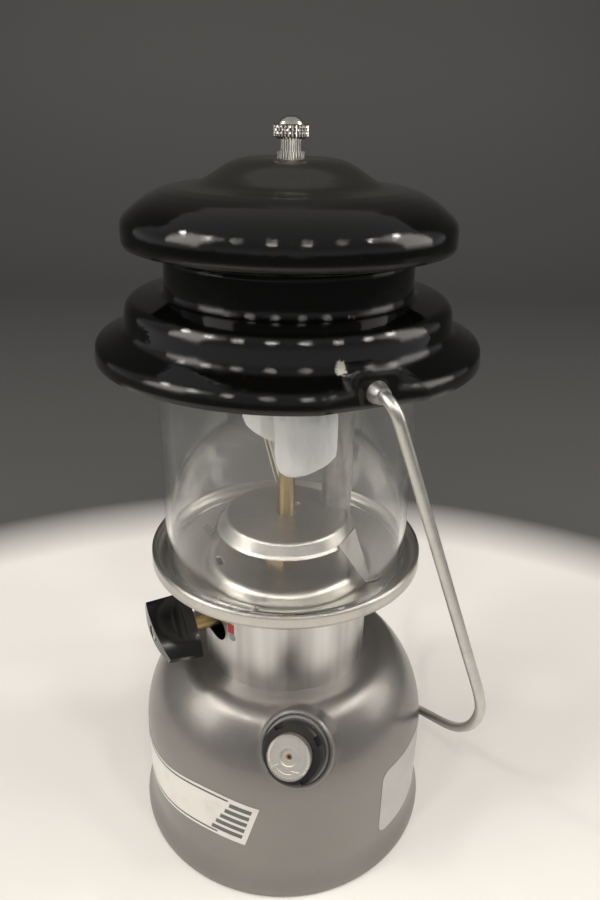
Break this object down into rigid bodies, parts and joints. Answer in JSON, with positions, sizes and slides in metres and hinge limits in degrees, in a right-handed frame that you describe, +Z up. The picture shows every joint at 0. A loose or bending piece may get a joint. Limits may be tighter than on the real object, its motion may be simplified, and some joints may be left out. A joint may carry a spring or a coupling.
{
  "type": "camping lantern",
  "caption": "Pressurised liquid-fuel camping lantern with a hand pump, fuel valve, mantle burner, glass globe, lift-off ventilator and swinging bail.",
  "frame": {"origin": "centre of the tank's foot ring, on the surface the lantern stands on", "axes": "+Z up along the lantern's axis; the bail's pivots lie along Y; the fuel valve's knob points along -X and the mixing tube is on +X"},
  "size_m": [0.1742, 0.2258, 0.3682],
  "materials": {
    "tank_enamel": "metallic grey, semi-gloss, worn",
    "tank_pan": "metallic grey, satin",
    "brass": "turned, slightly tarnished",
    "gasket": "matt",
    "filler_metal": "satin, ribbed",
    "pump_steel": "drawn",
    "black_plastic": "moulded, semi-gloss",
    "knob_metal": "die cast, serrated",
    "leather": "oiled",
    "plated_steel": "zinc plated",
    "knob_plastic": "moulded, worn",
    "collar_metal": "satin, light scratches",
    "tray_steel": "nickel plated, heat dulled",
    "shield_steel": "bright, heat stained",
    "tube_steel": "galvanised, heat dulled",
    "burner_iron": "heat blackened",
    "ceramic_caps": "fired, sooty",
    "mantle_cloth": "woven ash, fragile",
    "glass": "clear",
    "enamel": "vitreous enamel, high gloss, chipped",
    "baffle_steel": "heat dulled",
    "nut_metal": "polished, knurled",
    "wire": "nickel plated wire",
    "eyelet_metal": "plated"
  },
  "bodies": {
    "tank": {"tank_shell": "tank_enamel", "tank_bottom": "tank_pan", "tank_bush": "brass", "filler_neck": "brass", "pump_barrel": "pump_steel", "pump_cap": "black_plastic", "check_valve": "brass", "fuel_tube": "brass", "fuel_strainer": "brass", "valve_body": "brass", "packing_nut": "brass", "collar": "collar_metal", "tray": "tray_steel", "tray_nut": "brass", "heat_shield": "shield_steel", "generator": "brass", "generator_nut": "brass", "mixing_tube": "tube_steel", "burner_manifold": "burner_iron", "burner_caps": "ceramic_caps", "mantle_front": "mantle_cloth", "mantle_rear": "mantle_cloth", "center_stud": "plated_steel"},
    "plunger": {"pump_rod": "plated_steel", "pump_knob": "knob_metal", "pump_cup": "leather", "cup_retainer": "plated_steel"},
    "air_valve": {"air_stem": "brass"},
    "valve": {"valve_stem": "brass", "valve_knob": "knob_plastic", "knob_screw": "plated_steel"},
    "pricker": {"cleaning_rod": "plated_steel"},
    "filler_seal": {"filler_gasket": "gasket"},
    "filler_lid": {"filler_cap": "filler_metal"},
    "globe": {"globe": "glass"},
    "ventilator": {"hood": "enamel", "baffle": "baffle_steel", "vent_spacer": "baffle_steel", "vent_cap": "enamel", "bail_eyelets": "eyelet_metal"},
    "bail": {"bail": "wire"},
    "top_nut": {"ball_nut": "nut_metal"}
  },
  "joints": [
    {"name": "pump_turn", "type": "hinge", "parent": "tank", "child": "air_valve", "pos_m": [-0.02308, -0.0686, 0.09377], "axis": [-0.551, -0.6566, 0.515], "range_deg": [0, 360]},
    {"name": "pump_stroke", "type": "slide", "parent": "air_valve", "child": "plunger", "axis": [-0.551, -0.6566, 0.515], "range_m": [0, 0.07]},
    {"name": "valve_turn", "type": "hinge", "parent": "tank", "child": "valve", "pos_m": [-0.06, 0, 0.1272], "axis": [-1, 0, 0], "range_deg": [0, 270]},
    {"name": "pricker_lift", "type": "slide", "parent": "tank", "child": "pricker", "axis": [0, 0, 1], "range_m": [0, 0.0015]},
    {"name": "filler_lift", "type": "slide", "parent": "tank", "child": "filler_seal", "axis": [0.1816, 0.559, 0.809], "range_m": [0, 0.03]},
    {"name": "filler_turn", "type": "hinge", "parent": "filler_seal", "child": "filler_lid", "pos_m": [0.0184, 0.05662, 0.10024], "axis": [0.1816, 0.559, 0.809], "continuous": true},
    {"name": "ventilator_lift", "type": "slide", "parent": "tank", "child": "ventilator", "axis": [0, 0, 1], "range_m": [0, 0.24]},
    {"name": "globe_lift", "type": "slide", "parent": "tank", "child": "globe", "axis": [0, 0, 1], "range_m": [0, 0.2064]},
    {"name": "bail_swing", "type": "hinge", "parent": "ventilator", "child": "bail", "pos_m": [0, 0, 0.276], "axis": [0, -1, 0], "range_deg": [0, 322.5]},
    {"name": "nut_turn", "type": "hinge", "parent": "ventilator", "child": "top_nut", "pos_m": [0, 0, 0.352], "axis": [0, 0, 1], "continuous": true}
  ],
  "couplings": [
    {"joint": "pricker_lift", "follows": "valve_turn", "m_per_rad": 0.00031714},
    {"joint": "globe_lift", "follows": "ventilator_lift", "ratio": 0.85}
  ]
}
